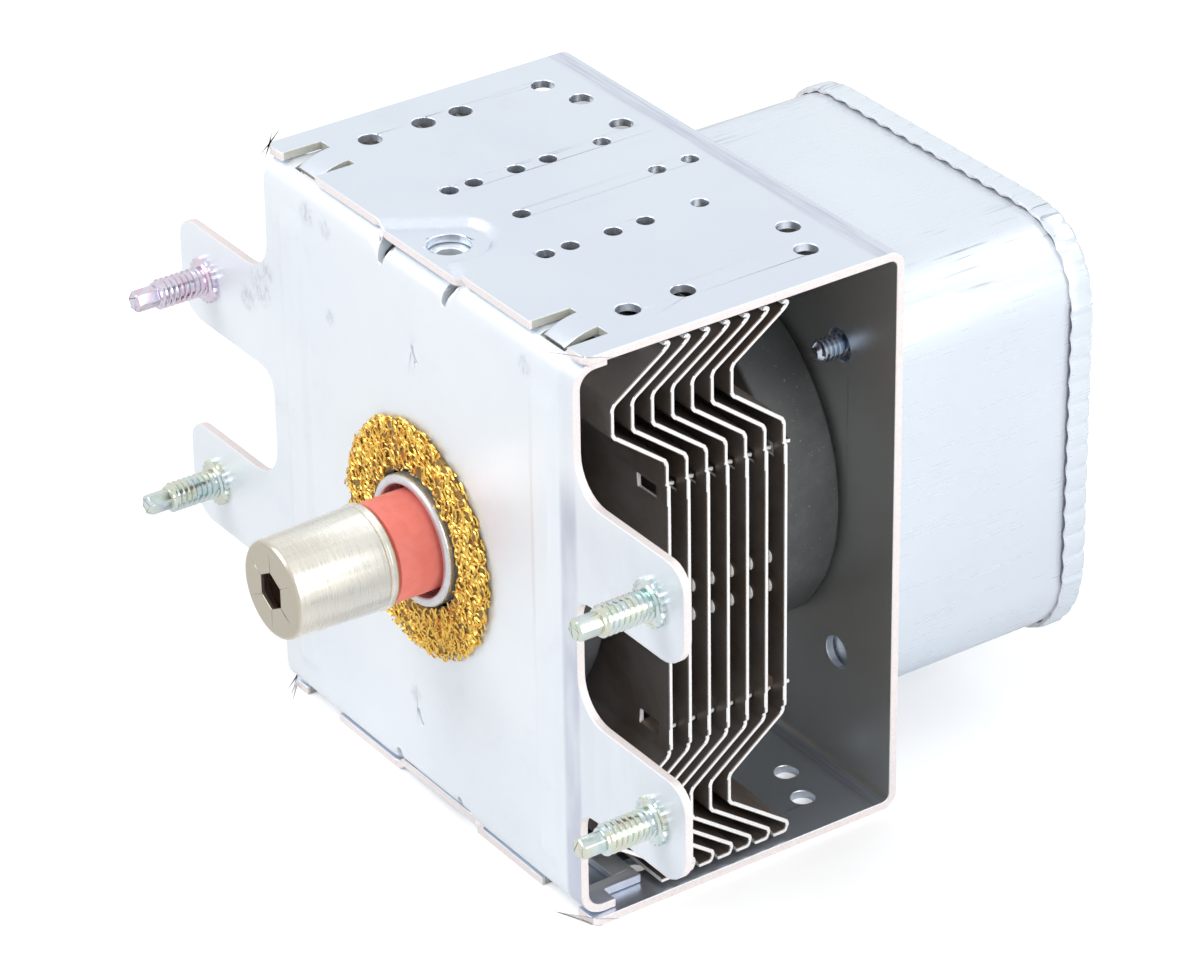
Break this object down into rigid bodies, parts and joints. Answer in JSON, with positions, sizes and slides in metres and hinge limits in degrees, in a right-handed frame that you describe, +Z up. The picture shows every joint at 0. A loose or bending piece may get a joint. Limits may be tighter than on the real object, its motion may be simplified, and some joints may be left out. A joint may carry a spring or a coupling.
{
  "type": "magnetron",
  "caption": "Microwave-oven magnetron: U yoke with cooling fins, ring magnets, front plate with ears and studs, antenna with mesh gasket, and a filter box.",
  "frame": {"origin": "centre of the yoke's underside", "axes": "+Z up through the yoke's flanges, -Y out of the front plate along the antenna, +X to the open side of the fins that the picture shows"},
  "size_m": [0.1128, 0.1039, 0.08],
  "materials": {
    "zinc_plate": "bright zinc-plated steel sheet, satin",
    "stud_zinc": "zinc with a faint iridescent passivation",
    "fin_metal": "rolled sheet, satin",
    "ferrite": "dark grey ground ferrite",
    "copper": "bare copper, satin",
    "nickel": "warm nickel, turned",
    "pink_ceramic": "coral pink ceramic, matt",
    "brass_mesh": "knitted wire mesh",
    "iron": "soft iron, matt",
    "black_plastic": "black moulded plastic",
    "terminal_tin": "tinned brass"
  },
  "bodies": {
    "root": {"yoke_channel": "zinc_plate", "front_plate": "zinc_plate", "stud_1": "stud_zinc", "stud_2": "stud_zinc", "stud_3": "stud_zinc", "stud_4": "stud_zinc", "magnet_front": "ferrite", "magnet_rear": "ferrite", "anode_block": "copper", "pole_piece_front": "iron", "pole_piece_rear": "iron", "antenna_shell": "zinc_plate", "cathode_shell": "zinc_plate", "antenna_ceramic": "pink_ceramic", "antenna_lead": "copper", "antenna_cap": "nickel", "mesh_gasket": "brass_mesh", "filter_box": "zinc_plate", "filter_lid": "zinc_plate", "filter_screw_1": "stud_zinc", "filter_screw_2": "stud_zinc", "cathode_heater": "iron", "stem_ceramic": "pink_ceramic", "lead_post_upper": "iron", "lead_post_lower": "iron", "choke_upper_core": "ferrite", "choke_upper_coil": "copper", "choke_lower_core": "ferrite", "choke_lower_coil": "copper", "capacitor_flange": "zinc_plate", "capacitor_body": "black_plastic", "terminal_upper": "terminal_tin", "terminal_lower": "terminal_tin", "fin_1": "fin_metal", "fin_2": "fin_metal", "fin_3": "fin_metal", "fin_4": "fin_metal", "fin_5": "fin_metal", "fin_6": "fin_metal", "fin_7": "fin_metal"}
  },
  "joints": []
}
